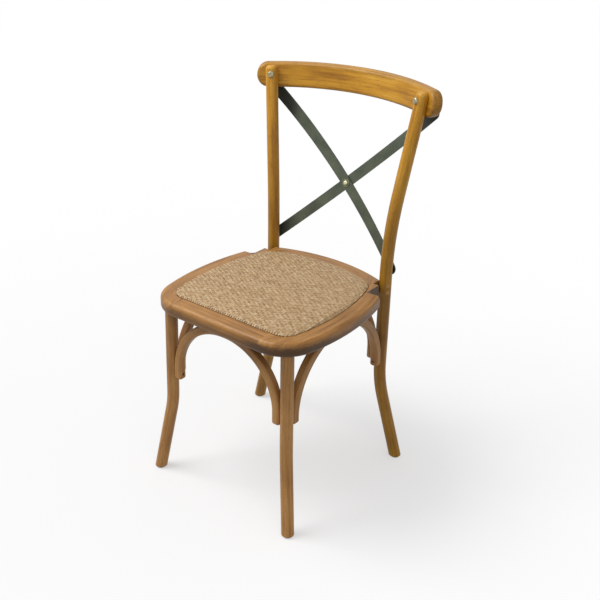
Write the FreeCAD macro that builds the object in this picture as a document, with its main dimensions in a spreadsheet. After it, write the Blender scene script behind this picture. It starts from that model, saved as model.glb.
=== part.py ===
import FreeCAD, Part
import math
import os
import Sketcher
from FreeCAD import Placement, Rotation, Vector

# A dining chair with a crossed-strap back: bentwood legs, arches and crest, a framed woven seat.
# Construction frame: x to the chair's left and right of its middle plane, y from the front edge
# of the seat backwards, z up from the floor.  The finished pieces are moved along y together, so
# that the origin is the middle of the chair's footprint box, on the floor.

SIZES = {
    # seat frame
    "seat_height": 457.0,
    "seat_thickness": 31.0,
    "seat_width": 427.0,
    "seat_depth": 423.0,
    "widest_from_front": 180.0,
    "side_bow_radius": 550.0,
    "rear_bow_radius": 380.0,
    "front_corner_radius": 84.0,
    "rear_corner_radius": 30.0,
    "rebate_corner_radius": 56.0,
    "front_rebate_radius": 38.0,
    "frame_width": 36.0,
    "ledge_width": 17.0,
    "rebate_depth": 12.0,
    "upper_round": 10.0,
    "lower_round": 8.0,
    "front_joint": 118.0,
    "rear_joint": 92.0,
    "dowel_dia": 8.0,
    "dowel_length": 36.0,
    "dowel_spacing": 20.0,
    "notch_gap": 61.5,
    "notch_step": 15.2,
    "notch_corner_radius": 13.0,
    "post_gap": 16.5,
    # woven seat
    "board_thickness": 9.0,
    "panel_gap": 1.6,
    "panel_edge": 3.5,
    "panel_crown": 8.0,
    # front legs
    "leg_dia": 28.0,
    "leg_top_x": 162.0,
    "leg_top_y": 39.5,
    "leg_flare_angle": 43.0,
    "leg_lean": 5.0,
    "leg_knee_height": 185.0,
    "leg_flare": 37.0,
    "leg_bend_radius": 260.0,
    "tenon_dia": 18.0,
    "tenon_length": 17.0,
    # back posts
    "post_dia": 28.0,
    "post_y": 392.5,
    "lower_knee_x": 161.5,
    "lower_knee_height": 200.0,
    "upper_knee_x": 160.8,
    "upper_knee_height": 565.0,
    "rear_foot_x": 214.0,
    "rear_foot_setback": 12.0,
    "post_top_x": 199.0,
    "post_top_setback": 34.5,
    "post_top_height": 879.0,
    "lower_bend_radius": 320.0,
    "upper_bend_radius": 1150.0,
    "post_top_round": 9.0,
    "post_flat": 1.5,
    # crest rail
    "rail_height": 55.0,
    "rail_thickness": 24.0,
    "rail_radius": 398.0,
    "rail_width": 483.0,
    "rail_drop": 51.5,
    "rail_lap": 5.0,
    "rail_round": 7.0,
    "rail_tilt": 4.3,
    "crest_bolt_rise": 33.0,
    # arches under the seat
    "arch_section": 20.0,
    "arch_corner": 6.0,
    "arch_flat": 3.0,
    "arch_drop": 174.0,
    "arch_end_round": 5.0,
    # crossed straps
    "strap_width": 24.0,
    "strap_thickness": 3.0,
    "strap_radius": 600.0,
    "strap_foot_rise": 25.0,
    "strap_top_rise": 5.0,
    "strap_top_x": 216.0,
    "strap_clearance": 0.4,
    "crossing_play": 0.1,
    # fasteners
    "rivet_dia": 6.0,
    "rivet_head_dia": 10.5,
    "rivet_head_height": 4.0,
    "rivet_washer_dia": 19.0,
    "rivet_washer_thickness": 1.5,
    "bolt_dia": 6.0,
    "bolt_head_dia": 15.0,
    "bolt_head_height": 5.0,
    "nut_dia": 11.0,
    "nut_height": 5.0,
    "washer_dia": 15.0,
    "washer_thickness": 1.5,
    "post_bolt_spacing": 16.0,
    "post_bolt_depth": 32.0,
    "post_bolt_setback": 5.5,
    "post_bolt_head_dia": 10.0,
    "post_bolt_head_height": 4.0,
    "plug_depth": 5.0,
    "screw_dia": 4.0,
    "screw_head_dia": 8.5,
    "screw_head_height": 2.6,
    "screw_grip": 16.0,
    "screw_head_play": 0.05,
    "arch_screw_height": 13.0,
    "arch_screw_length": 27.0,
    "arch_seat_screw_spacing": 20.0,
    "board_screw_length": 22.0,
    "board_screw_front_x": 80.0,
    "board_screw_rear_x": 125.0,
    # feet
    "glide_dia": 20.0,
    "glide_thickness": 4.0,
    "glide_pin_dia": 5.0,
    "glide_pin_length": 14.0,
}

doc = FreeCAD.newDocument("CrossBackChair")
sheet = doc.addObject("Spreadsheet::Sheet", "Sizes")
for row, (alias, value) in enumerate(SIZES.items(), start=1):
    sheet.set("A%d" % row, alias)
    sheet.set("B%d" % row, str(value))
    sheet.setAlias("B%d" % row, alias)
doc.recompute()

UP = Vector(0, 0, 1)
SIDES = (("left", -1), ("right", 1))
parts = []


def size(alias):
    """One driving size, read from the sheet."""
    return float(sheet.get(alias))


def cell(alias):
    """The same size as a reference for an expression."""
    return "Sizes." + alias


worked = doc.addObject("Spreadsheet::Sheet", "Worked")


def work_out(alias, value):
    """Keeps a size that follows from the driving sizes on a sheet of its own, for sketches to use."""
    row = len(worked.getNonEmptyCells()) // 2 + 1
    worked.set("A%d" % row, alias)
    worked.set("B%d" % row, repr(value))
    worked.setAlias("B%d" % row, alias)
    doc.recompute()
    return "Worked." + alias


def helper(kind, name):
    """An object that only helps to build a sub-part."""
    return doc.addObject(kind, name)


def keep(obj, label):
    """Marks a finished object as a sub-part and gives it its own name."""
    obj.Label = label
    parts.append(obj)
    return obj


def made(name, shape):
    """A piece of geometry that is worked out in code from the sheet."""
    feature = helper("Part::Feature", name)
    feature.Shape = shape
    return feature


def block(name, corner, lengths):
    """A box from a corner and three lengths, each a number or an expression."""
    box = helper("Part::Box", name)
    for prop, length in zip(("Length", "Width", "Height"), lengths):
        if isinstance(length, str):
            box.setExpression(prop, length)
        else:
            setattr(box, prop, length)
    box.Placement.Base = Vector(*corner)
    return box


def cut(name, base, *tools):
    """The base without the tools."""
    for number, tool in enumerate(tools):
        step = helper("Part::Cut", name if number == len(tools) - 1 else "%s_step%d" % (name, number))
        step.Base = base
        step.Tool = tool
        base = step
    return base


def common(name, first, second):
    """What two objects share."""
    both = helper("Part::Common", name)
    both.Base = first
    both.Tool = second
    return both


def rounded(name, base, radius_alias, chosen):
    """Fillets the chosen edges of an object with one radius from the sheet."""
    doc.recompute()
    fillet = helper("Part::Fillet", name)
    fillet.Base = base
    radius = size(radius_alias)
    fillet.Edges = [(n, radius, radius) for n, edge in enumerate(base.Shape.Edges, 1) if chosen(edge)]
    doc.recompute()
    return fillet


def circle_meeting(first_centre, first_radius, second_centre, second_radius):
    """The outer of the two points where two circles in the plan meet."""
    gap = second_centre - first_centre
    along = (first_radius ** 2 - second_radius ** 2 + gap.Length ** 2) / (2 * gap.Length)
    across = math.sqrt(first_radius ** 2 - along ** 2)
    axis = Vector(gap).normalize()
    points = [first_centre + axis * along + axis.cross(UP) * across * s for s in (1, -1)]
    return max(points, key=lambda p: p.x)


def line(a, b):
    return Part.makeLine(a, b)


def arc(a, b, c):
    return Part.Arc(a, b, c).toShape()


def on_circle(centre, radius, towards):
    """The point of a circle on the ray from its centre through another point."""
    return centre + Vector(towards - centre).normalize() * radius


def mid_arc(centre, radius, a, b):
    """The arc of a circle between two of its points."""
    return arc(a, on_circle(centre, radius, (a + b) * 0.5), b)


def mirrored(p):
    return Vector(-p.x, p.y, p.z)


def seat_outline(inset, height, scale=1.0):
    """The plan of the seat, drawn in by an inset: straight front, bowed sides, round rear.

    Inside the frame the front corners are tighter than the frame's own.  The rear ones are
    rounder, because the frame's own hold the posts.
    """
    half = size("seat_width") / 2
    side = size("side_bow_radius")
    rear = size("rear_bow_radius")
    front_round = size("front_rebate_radius") + size("frame_width") if inset else size("front_corner_radius")
    rear_round = size("rebate_corner_radius") + size("frame_width") if inset else size("rear_corner_radius")
    side_centre = Vector(half - side, size("widest_from_front"), 0)
    rear_centre = Vector(0, size("seat_depth") - rear, 0)
    rise = front_round - side_centre.y
    front_centre = Vector(side_centre.x + math.sqrt((side - front_round) ** 2 - rise ** 2), front_round, 0)
    rear_corner = circle_meeting(side_centre, side - rear_round, rear_centre, rear - rear_round)
    a = Vector(front_centre.x, inset, 0)
    b = on_circle(side_centre, side - inset, front_centre)
    c = on_circle(side_centre, side - inset, rear_corner)
    d = on_circle(rear_centre, rear - inset, rear_corner)
    edges = [
        line(mirrored(a), a),
        mid_arc(front_centre, front_round - inset, a, b),
        mid_arc(side_centre, side - inset, b, c),
        mid_arc(rear_corner, rear_round - inset, c, d),
        mid_arc(rear_centre, rear - inset, d, mirrored(d)),
        mid_arc(mirrored(rear_corner), rear_round - inset, mirrored(d), mirrored(c)),
        mid_arc(mirrored(side_centre), side - inset, mirrored(c), mirrored(b)),
        mid_arc(mirrored(front_centre), front_round - inset, mirrored(b), mirrored(a)),
    ]
    wire = Part.Wire(edges)
    if scale != 1.0:
        wire = wire.scaled(scale, Vector(0, size("seat_depth") / 2, 0))
    wire.translate(UP * height)
    return wire


def slab(name, inset, bottom, thickness):
    """The seat's plan, drawn in by an inset, as a plate of a given thickness."""
    face = made(name + "_plan", Part.Face(seat_outline(inset, bottom)))
    plate = helper("Part::Extrusion", name)
    plate.Base = face
    plate.Dir = UP
    plate.DirMode = "Custom"
    plate.Solid = True
    plate.setExpression("LengthFwd", thickness)
    return plate


def bent_path(points, radii):
    """Straight runs through the points, with a tangent arc of the given radius at each inner one."""
    edges = []
    start = points[0]
    for before, corner, after, radius in zip(points, points[1:], points[2:], radii):
        incoming = Vector(before - corner).normalize()
        outgoing = Vector(after - corner).normalize()
        turn = math.pi - incoming.getAngle(outgoing)
        reach = radius * math.tan(turn / 2)
        inward = Vector(incoming + outgoing).normalize()
        centre = corner + inward * (radius / math.cos(turn / 2))
        first = corner + incoming * reach
        last = corner + outgoing * reach
        edges.append(line(start, first))
        edges.append(arc(first, centre - inward * radius, last))
        start = last
    edges.append(line(start, points[-1]))
    return Part.Wire(edges)


def round_pole(name, path, diameter_alias):
    """A round pole swept along a path."""
    spine = made(name + "_line", path)
    first = path.OrderedEdges[0]
    section = helper("Part::Circle", name + "_section")
    section.setExpression("Radius", cell(diameter_alias) + " / 2")
    section.Placement = Placement(path.OrderedVertexes[0].Point, Rotation(UP, first.tangentAt(first.FirstParameter)))
    pole = helper("Part::Sweep", name)
    pole.Sections = [section]
    pole.Spine = (spine, ["Edge%d" % (n + 1) for n in range(len(path.Edges))])
    pole.Solid = True
    pole.Frenet = False
    return pole


def origin_plane(body, role):
    return next(f for f in body.Origin.OriginFeatures if f.Role == role)


def sketch_on(body, name, role):
    sketch = body.newObject("Sketcher::SketchObject", name)
    sketch.AttachmentSupport = [(origin_plane(body, role), "")]
    sketch.MapMode = "FlatFace"
    return sketch


def fix(sketch, kind, arguments, expression):
    """A dimension of a sketch that follows the sheet."""
    index = sketch.addConstraint(Sketcher.Constraint(kind, *arguments))
    sketch.setExpression("Constraints[%d]" % index, expression)


def group(name, label, shapes):
    """Identical loose solids in one node."""
    return keep(made(name, Part.makeCompound(shapes)), label)


def placed(shape, base, axis):
    """A copy of a shape made along +z, set down at a base point with its z along an axis."""
    copy = shape.copy()
    copy.Placement = Placement(base, Rotation(UP, axis))
    return copy


# Seat frame: a bowed ring with a rebate for the seat, cut into four segments

seat_top = size("seat_height")
seat_bottom = seat_top - size("seat_thickness")
post_radius = size("post_dia") / 2
big = size("seat_width") + size("seat_depth")
ledge_inset = size("frame_width") + size("ledge_width")

outer_slab = slab("frame_blank", 0, seat_bottom, cell("seat_thickness"))


def outer_edge_at(height):
    """Chooses the edges of the frame blank that lie at one height."""
    return lambda edge: all(abs(v.Z - height) < 0.01 for v in edge.Vertexes)


softened = rounded("frame_upper_round", outer_slab, "upper_round", outer_edge_at(seat_top))
softened = rounded("frame_lower_round", softened, "lower_round", outer_edge_at(seat_bottom))
seat_hole = slab("seat_hole", ledge_inset, seat_bottom, cell("seat_thickness"))
seat_rebate = slab("seat_rebate", size("frame_width"), seat_top - size("rebate_depth"), cell("rebate_depth"))


def post_x_at(height):
    """How far the post's middle line is from the middle plane between its two knees."""
    low = size("lower_knee_height")
    share = (height - low) / (size("upper_knee_height") - low)
    return size("lower_knee_x") + share * (size("upper_knee_x") - size("lower_knee_x"))


bed_x = post_x_at(seat_top) - post_radius + size("post_flat")
bed_y = size("post_y") - post_radius - size("post_gap")
notch_x = bed_x + size("notch_step")
notch_y = size("post_y") - post_radius - size("notch_gap")
notches = []
for side, sign in SIDES:
    bed = (bed_x if sign > 0 else -bed_x - big, bed_y, seat_bottom)
    notches.append(block("post_bed_%s" % side, bed, (big, big, cell("seat_thickness"))))
    corner = (notch_x if sign > 0 else -notch_x - big, notch_y, seat_bottom)
    notch = block("notch_%s_block" % side, corner, (big, big, cell("seat_thickness")))
    inner = sign * notch_x
    notches.append(rounded("notch_%s" % side, notch, "notch_corner_radius",
                           lambda e: all(abs(v.X - inner) < 0.01 and abs(v.Y - notch_y) < 0.01 for v in e.Vertexes)))
ring = cut("frame_ring", softened, seat_hole, seat_rebate, *notches)

# Legs and posts

leg_bearing = Vector(math.cos(math.radians(size("leg_flare_angle"))), -math.sin(math.radians(size("leg_flare_angle"))), 0)
leg_top = Vector(size("leg_top_x"), size("leg_top_y"), seat_bottom)


def leg_points(sign):
    """Top, knee and foot of a front leg; the run is carried past the top and the foot, then cut level."""
    knee = leg_top + leg_bearing * size("leg_lean")
    knee.z = size("leg_knee_height")
    foot = knee + leg_bearing * size("leg_flare")
    foot.z = 0
    past_top = leg_top + (leg_top - knee).normalize() * size("leg_dia")
    past_foot = foot + (foot - knee).normalize() * size("leg_dia")
    return [Vector(sign * p.x, p.y, p.z) for p in (past_top, knee, past_foot)], Vector(sign * foot.x, foot.y, 0)


def post_points(sign):
    """Foot, two knees and top of a back post."""
    back = size("post_y")
    foot = Vector(sign * size("rear_foot_x"), back + size("rear_foot_setback"), 0)
    low = Vector(sign * size("lower_knee_x"), back, size("lower_knee_height"))
    high = Vector(sign * size("upper_knee_x"), back, size("upper_knee_height"))
    top = Vector(sign * size("post_top_x"), back + size("post_top_setback"), size("post_top_height"))
    past_foot = foot + (foot - low).normalize() * size("post_dia")
    return [past_foot, low, high, top], foot


glide_bed = size("glide_thickness")
floor_cut = block("floor_cut", (-big, -big, glide_bed - big), (2 * big, 2 * big, big))
seat_cut = block("seat_cut", (-big, -big, seat_bottom), (2 * big, 2 * big, big))


def cylinder(name, radius, height, base, axis=UP):
    """A cylinder whose sizes follow the sheet."""
    solid = helper("Part::Cylinder", name)
    solid.setExpression("Radius", radius)
    solid.setExpression("Height", height)
    solid.Placement = Placement(Vector(*base), Rotation(UP, axis))
    return solid


def fused(name, *shapes):
    whole = helper("Part::MultiFuse", name)
    whole.Shapes = list(shapes)
    return whole


feet = {}
leg_blanks = {}
tenons = {}
for side, sign in SIDES:
    points, feet["front_" + side] = leg_points(sign)
    pole = round_pole("front_leg_%s_pole" % side, bent_path(points, [size("leg_bend_radius")]), "leg_dia")
    level = cut("front_leg_%s_level" % side, pole, floor_cut, seat_cut)
    tenons[side] = cylinder("front_tenon_" + side, cell("tenon_dia") + " / 2", cell("tenon_length"),
                            (sign * leg_top.x, leg_top.y, seat_bottom))
    leg_blanks[side] = fused("front_leg_%s_blank" % side, level, tenons[side])

# Crest rail: a bowed band with round ends, leaning back with the posts, its bow tilted up to the middle

high_knee = Vector(size("upper_knee_x"), size("post_y"), size("upper_knee_height"))
post_top = Vector(size("post_top_x"), size("post_y") + size("post_top_setback"), size("post_top_height"))
post_slope = (post_top - high_knee) * (1 / (post_top.z - high_knee.z))
rail_bottom = size("post_top_height") - size("rail_drop")
post_at_rail = high_knee + post_slope * (rail_bottom + size("crest_bolt_rise") - high_knee.z)
rail_tilt = math.radians(size("rail_tilt"))
front_radius = size("rail_radius")
back_radius = front_radius + size("rail_thickness")
chord_depth = math.sqrt(front_radius ** 2 - post_at_rail.x ** 2)

rail_body = helper("PartDesign::Body", "CrestRail")
rail_plan = sketch_on(rail_body, "RailPlan", "XY_Plane")
softened_radius = back_radius - size("rail_round")
end_turn = math.atan(size("rail_round") / softened_radius)
end_reach = size("rail_width") / 2 - size("rail_round")
half_angle = end_turn + math.asin(end_reach / math.hypot(softened_radius, size("rail_round")))
for radius in (front_radius, back_radius):
    circle = Part.Circle(Vector(0, 0, 0), UP, radius)
    rail_plan.addGeometry(Part.ArcOfCircle(circle, math.pi / 2 - half_angle, math.pi / 2 + half_angle), False)
for angle in (math.pi / 2 - half_angle, math.pi / 2 + half_angle):
    spoke = Vector(math.cos(angle), math.sin(angle), 0)
    rail_plan.addGeometry(Part.LineSegment(spoke * front_radius, spoke * back_radius), False)
for arc_index in (0, 1):
    rail_plan.addConstraint(Sketcher.Constraint("Coincident", arc_index, 3, -1, 1))
for line_index, end in ((2, 1), (3, 2)):
    rail_plan.addConstraint(Sketcher.Constraint("Coincident", line_index, 1, 0, end))
    rail_plan.addConstraint(Sketcher.Constraint("Coincident", line_index, 2, 1, end))
    rail_plan.addConstraint(Sketcher.Constraint("PointOnObject", -1, 1, line_index))
rail_plan.addConstraint(Sketcher.Constraint("Symmetric", 0, 1, 0, 2, -2))
fix(rail_plan, "Radius", (0, front_radius), cell("rail_radius"))
fix(rail_plan, "Radius", (1, back_radius), cell("rail_radius") + " + " + cell("rail_thickness"))
rail_end = work_out("rail_end", front_radius * math.sin(half_angle))
fix(rail_plan, "DistanceX", (-1, 1, 0, 1, front_radius * math.sin(half_angle)), rail_end)
rail_pad = rail_body.newObject("PartDesign::Pad", "RailPad")
rail_pad.Profile = rail_plan
rail_pad.UseCustomVector = True
rail_turn = Rotation(Vector(1, 0, 0), size("rail_tilt"))
rail_pad.Direction = rail_turn.inverted().multVec(Vector(0, post_slope.y, 1))
rail_pad.AlongSketchNormal = True
rail_pad.setExpression("Length", cell("rail_height"))
doc.recompute()


def names_of(shape, kind, chosen):
    """The sub-element names of the faces or edges that a test picks."""
    items = shape.Faces if kind == "Face" else shape.Edges
    return ["%s%d" % (kind, n) for n, item in enumerate(items, 1) if chosen(item)]


def is_end_edge(edge):
    flat = abs(edge.Vertexes[0].Z - edge.Vertexes[-1].Z) < 0.01
    return flat and isinstance(edge.Curve, Part.Line)


def is_bowed_face(face):
    """The rail's front and back: wide faces whose middle lies on the plane of symmetry."""
    middle = face.CenterOfMass
    return abs(middle.x) < 1 and face.BoundBox.ZLength > size("rail_height") / 2


rail_ends = rail_body.newObject("PartDesign::Fillet", "RailEnds")
rail_ends.Base = (rail_pad, names_of(rail_pad.Shape, "Edge", is_end_edge))
rail_ends.setExpression("Radius", cell("rail_height") + " / 2 - 1")
doc.recompute()


rail_edges = rail_body.newObject("PartDesign::Fillet", "RailRound")
rail_edges.Base = (rail_ends, names_of(rail_ends.Shape, "Face", is_bowed_face))
rail_edges.setExpression("Radius", cell("rail_round"))
rail_body.Tip = rail_edges
rail_face = post_at_rail.y + post_radius - size("rail_lap")
bow_share = math.cos(rail_tilt) - post_slope.y * math.sin(rail_tilt)
rail_lift = chord_depth * math.sin(rail_tilt)
rail_offset = bow_share * chord_depth + post_slope.y * (size("crest_bolt_rise") + rail_lift)
rail_centre = Vector(0, rail_face - rail_offset, rail_bottom - rail_lift)
rail_body.Placement = Placement(rail_centre, rail_turn)
doc.recompute()

# Back posts: bent in two planes, flattened against the seat frame, lapped over the rail

foot_posts = {}
for side, sign in SIDES:
    points, feet["rear_" + side] = post_points(sign)
    radii = [size("lower_bend_radius"), size("upper_bend_radius")]
    pole = round_pole("back_post_%s_pole" % side, bent_path(points, radii), "post_dia")
    top = points[-1]
    topped = rounded("back_post_%s_top" % side, pole, "post_top_round",
                     lambda e: all((v.Point - top).Length < size("post_dia") for v in e.Vertexes)
                     and isinstance(e.Curve, Part.Circle))
    foot_posts[side] = cut("back_post_%s_blank" % side, topped, floor_cut, ring, rail_body)

# Crossed straps: each lies on a round sheet that is bedded in a post below and rests on the rail above


def rail_back_depth(x, height):
    """The depth of the crest rail's back face at a place of the chair's front view."""
    bow = bow_share * math.sqrt(back_radius ** 2 - x ** 2)
    return rail_centre.y + bow + post_slope.y * (height - rail_centre.z)


strap_top = Vector(size("strap_top_x"), 0, rail_bottom + size("strap_top_rise"))
strap_foot_height = seat_top + size("strap_foot_rise")
post_at_strap = Vector(post_x_at(strap_foot_height), size("post_y"), strap_foot_height)


def sheet_lean(radius):
    """How a round sheet of a given radius leans: its axis at the strap's foot, its slope and stretch.

    The stretch is how much longer the sheet's radius is in a level plan than square to its axis.
    """
    play = size("strap_clearance")
    contact_height = rail_bottom + size("rail_round")
    contact_x = strap_top.x - size("strap_width") * 0.75
    foot_bow = math.sqrt((radius - post_radius) ** 2 - post_at_strap.x ** 2)
    top_bow = math.sqrt(radius ** 2 - contact_x ** 2)
    stretch = 1.0
    for attempt in range(20):
        foot_axis = post_at_strap.y + play - stretch * foot_bow
        top_axis = rail_back_depth(contact_x, contact_height) + play - stretch * top_bow
        slope = (top_axis - foot_axis) / (contact_height - strap_foot_height)
        stretch = math.hypot(1, slope)
    return foot_axis, slope, stretch


def strap_foot_x(radius):
    """Where the strap's lower hole is: in line with the post's middle, seen along the sheet's normal."""
    return post_at_strap.x * radius / (radius - post_radius)


def crossing_height(radius):
    foot_x = strap_foot_x(radius)
    return strap_foot_height + (strap_top.z - strap_foot_height) * foot_x / (foot_x + strap_top.x)


def sheet_point(radius, x, height, behind=0.0):
    """A point of a sheet's front face, and the sheet's outward direction there."""
    foot_axis, slope, stretch = sheet_lean(radius)
    bow = math.sqrt(radius ** 2 - x ** 2)
    normal = Vector(x, bow / stretch, -slope * bow / stretch).normalize()
    depth = foot_axis + slope * (height - strap_foot_height) + stretch * bow
    return Vector(x, depth, height) + normal * behind, normal


def crossing(radius, behind=0.0):
    """Where a sheet's front face, or a face behind it, has the crossing of the straps."""
    return sheet_point(radius, 0, crossing_height(radius), behind)[0]


front_strap_radius = size("strap_radius")
wanted = crossing(front_strap_radius, size("strap_thickness") + size("crossing_play")).y
low, high = front_strap_radius / 2, front_strap_radius
for attempt in range(60):
    middle = (low + high) / 2
    low, high = (middle, high) if crossing(middle).y > wanted else (low, middle)
rear_strap_radius = high


def strap(name, radius, sign):
    """A flat bar on its bowed sheet, from the post on one side to the rail on the other."""
    below = strap_foot_height - size("strap_width")
    start, outward = sheet_point(radius, 0, below)
    angle = math.asin((strap_top.x + size("strap_width")) / radius)
    arcs = []
    for r in (radius, radius + size("strap_thickness")):
        arcs.append([Vector(r * math.sin(a), r * math.cos(a) - radius, 0) for a in (-angle, 0, angle)])
    inner, outer = arcs
    wire = Part.Wire([arc(*inner), line(inner[2], outer[2]), arc(*reversed(outer)), line(outer[0], inner[0])])
    plan = made(name + "_plan", Part.Face(wire))
    plan.Placement = Placement(start, Rotation(Vector(0, 1, 0), outward))
    bowed = helper("Part::Extrusion", name + "_sheet")
    bowed.Base = plan
    bowed.DirMode = "Normal"
    bowed.Solid = True
    bowed.LengthFwd = (strap_top.z + size("strap_width") - below) * sheet_lean(radius)[2]
    foot = Vector(sign * strap_foot_x(radius), 0, strap_foot_height)
    top = Vector(-sign * strap_top.x, 0, strap_top.z)
    along = Vector(top - foot).normalize()
    across = along.cross(Vector(0, 1, 0)) * (size("strap_width") / 2)
    end = along * (size("strap_width") / 2)
    outline = Part.Wire([line(foot + across, top + across), arc(top + across, top + end, top - across),
                         line(top - across, foot - across), arc(foot - across, foot - end, foot + across)])
    band_face = made(name + "_front_view", Part.Face(outline))
    band = helper("Part::Extrusion", name + "_band")
    band.Base = band_face
    band.Dir = Vector(0, 1, 0)
    band.DirMode = "Custom"
    band.Solid = True
    band.LengthFwd = big
    return common(name + "_blank", bowed, band)


strap_blanks = {
    "front": (strap("cross_strap_front", front_strap_radius, 1), front_strap_radius, 1),
    "rear": (strap("cross_strap_rear", rear_strap_radius, -1), rear_strap_radius, -1),
}

# Fasteners, each made once along z with its head above the origin, then set in place


def headed(name, shank, length, head, head_height, dome):
    """A screw or bolt: a shank down from the origin and a domed head up from it."""
    doc_shank = cylinder(name + "_shank", cell(shank) + " / 2", "1mm * (%s)" % length, (0, 0, 0), Vector(0, 0, -1))
    doc_head = cylinder(name + "_head", cell(head) + " / 2", cell(head_height), (0, 0, 0))
    blank = fused(name + "_blank", doc_shank, doc_head)
    doc.recompute()
    top = size(head_height)
    fillet = helper("Part::Fillet", name)
    fillet.Base = blank
    radius = dome * top
    fillet.Edges = [(n, radius, radius) for n, edge in enumerate(blank.Shape.Edges, 1)
                    if all(abs(v.Z - top) < 0.01 for v in edge.Vertexes) and edge.Length > top]
    doc.recompute()
    return fillet.Shape


def ring_washer(outer, inner, thickness):
    return Part.makeCylinder(outer / 2, thickness).cut(Part.makeCylinder(inner / 2, thickness))


strap_stack = 2 * size("strap_thickness") + size("crossing_play")
screw = headed("strap_screw", "screw_dia", "%s + %s" % (cell("strap_thickness"), cell("screw_grip")),
               "screw_head_dia", "screw_head_height", 0.6)
strap_top_screws = []
strap_foot_screws = []
screw_seat = size("strap_thickness") + size("screw_head_play")
for blank, radius, sign in strap_blanks.values():
    place, normal = sheet_point(radius, -sign * strap_top.x, strap_top.z, screw_seat)
    strap_top_screws.append(placed(screw, place, normal))
    place, normal = sheet_point(radius, sign * strap_foot_x(radius), strap_foot_height, screw_seat)
    strap_foot_screws.append(placed(screw, place, normal))
strap_top_screws = group("StrapTopScrews", "strap_top_screws", strap_top_screws)
strap_foot_screws = group("StrapFootScrews", "strap_foot_screws", strap_foot_screws)

crossing_normal = sheet_point(front_strap_radius, 0, crossing_height(front_strap_radius))[1]
washer_grip = size("rivet_washer_thickness")
rivet_shank = headed("rivet_half", "rivet_dia", "%s + %s / 2" % (cell("strap_thickness"), cell("rivet_washer_thickness")),
                     "rivet_head_dia", "rivet_head_height", 0.7)
rivet_middle = crossing(front_strap_radius, strap_stack / 2)
reach = strap_stack / 2 + washer_grip
rivet = None
for direction in (1, -1):
    axis = crossing_normal * direction
    half = placed(rivet_shank, rivet_middle + axis * reach, axis)
    shank = Part.makeCylinder(size("rivet_dia") / 2, reach, rivet_middle, axis)
    half = half.fuse(shank)
    rivet = half if rivet is None else rivet.fuse(half)
rivet = keep(made("CentreRivet", rivet.removeSplitter()), "centre_rivet")
rivet_ring = ring_washer(size("rivet_washer_dia"), size("rivet_dia"), washer_grip)
rivet_washers = group("RivetWashers", "rivet_washers", [
    placed(rivet_ring, rivet_middle + crossing_normal * direction * (strap_stack / 2), crossing_normal * direction)
    for direction in (1, -1)])

for place, (blank, radius, sign) in strap_blanks.items():
    keep(cut("CrossStrap" + place.title(), blank, strap_top_screws, strap_foot_screws, rivet), "cross_strap_" + place)

# Crest bolts: through the post and the rail, a dome in front, a washer and cap nut behind

bolt_axis = Vector(bow_share * post_at_rail.x, chord_depth, -post_slope.y * chord_depth).normalize()
seating = 1.0
bolt_run = 2 * post_radius - seating - size("rail_lap") + size("rail_thickness") - seating / 2
bolt_tail = size("washer_thickness") + size("nut_height") * 0.7
crest_bolt = headed("crest_bolt", "bolt_dia", "%r" % (bolt_run + bolt_tail), "bolt_head_dia", "bolt_head_height", 0.75)
nut = Part.makeCylinder(size("nut_dia") / 2, size("nut_height"))
nut = nut.makeFillet(size("nut_height") * 0.5, [e for e in nut.Edges if all(v.Z > size("nut_height") - 0.01 for v in e.Vertexes)])
nut = nut.cut(Part.makeCylinder(size("bolt_dia") / 2, size("nut_height") * 0.7))
washer = ring_washer(size("washer_dia"), size("bolt_dia"), size("washer_thickness"))
bolts = []
nuts = []
washers = []
head_beds = []
for side, sign in SIDES:
    axis = Vector(sign * bolt_axis.x, bolt_axis.y, bolt_axis.z)
    middle = Vector(sign * post_at_rail.x, post_at_rail.y, post_at_rail.z)
    head_base = middle - axis * (post_radius - seating)
    tail_base = head_base + axis * bolt_run
    bolts.append(placed(crest_bolt, head_base, axis * -1))
    washers.append(placed(washer, tail_base, axis))
    nuts.append(placed(nut, tail_base + axis * size("washer_thickness"), axis))
    head_beds.append(Part.makeCylinder(size("bolt_head_dia") / 2, size("bolt_head_height") * 2, head_base, axis * -1))
crest_bolts = group("CrestBolts", "crest_bolts", bolts)
crest_washers = group("CrestWashers", "crest_bolt_washers", washers)
crest_nuts = group("CrestNuts", "crest_bolt_nuts", nuts)
head_beds = made("crest_head_beds", Part.makeCompound(head_beds))

keep(cut("CrestRailDrilled", rail_body, crest_bolts, crest_washers, strap_top_screws), "crest_rail")

# Post bolts: from the outer side of each post into the seat frame, under wooden plugs

post_bolt_run = 2 * post_radius - size("post_flat") - size("plug_depth") - size("post_bolt_head_height")
post_bolt = headed("post_bolt", "bolt_dia", "%r" % (post_bolt_run + size("post_bolt_depth")),
                   "post_bolt_head_dia", "post_bolt_head_height", 0.2)
bolts = []
plugs = []
for side, sign in SIDES:
    inward = Vector(-sign, 0, 0)
    for step in (-0.5, 0.5):
        height = (seat_top + seat_bottom) / 2 + step * size("post_bolt_spacing")
        outer = sign * (bed_x - size("post_flat") + 2 * post_radius)
        surface = Vector(outer, size("post_y") - size("post_bolt_setback"), height)
        head_base = surface + inward * (size("plug_depth") + size("post_bolt_head_height"))
        bolts.append(placed(post_bolt, head_base, inward * -1))
        plug_base = head_base - inward * size("post_bolt_head_height")
        plugs.append(Part.makeCylinder(size("post_bolt_head_dia") / 2, size("plug_depth"), plug_base, inward * -1))
post_bolts = group("PostBolts", "post_bolts", bolts)
plug_blanks = made("plug_blanks", Part.makeCompound(plugs))
post_skins = fused("post_skins", *[foot_posts[side] for side, sign in SIDES])
keep(common("PostPlugs", post_skins, plug_blanks), "post_bolt_plugs")

# Arches under the seat: bentwood, flat under the seat frame, straight down the legs

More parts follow.
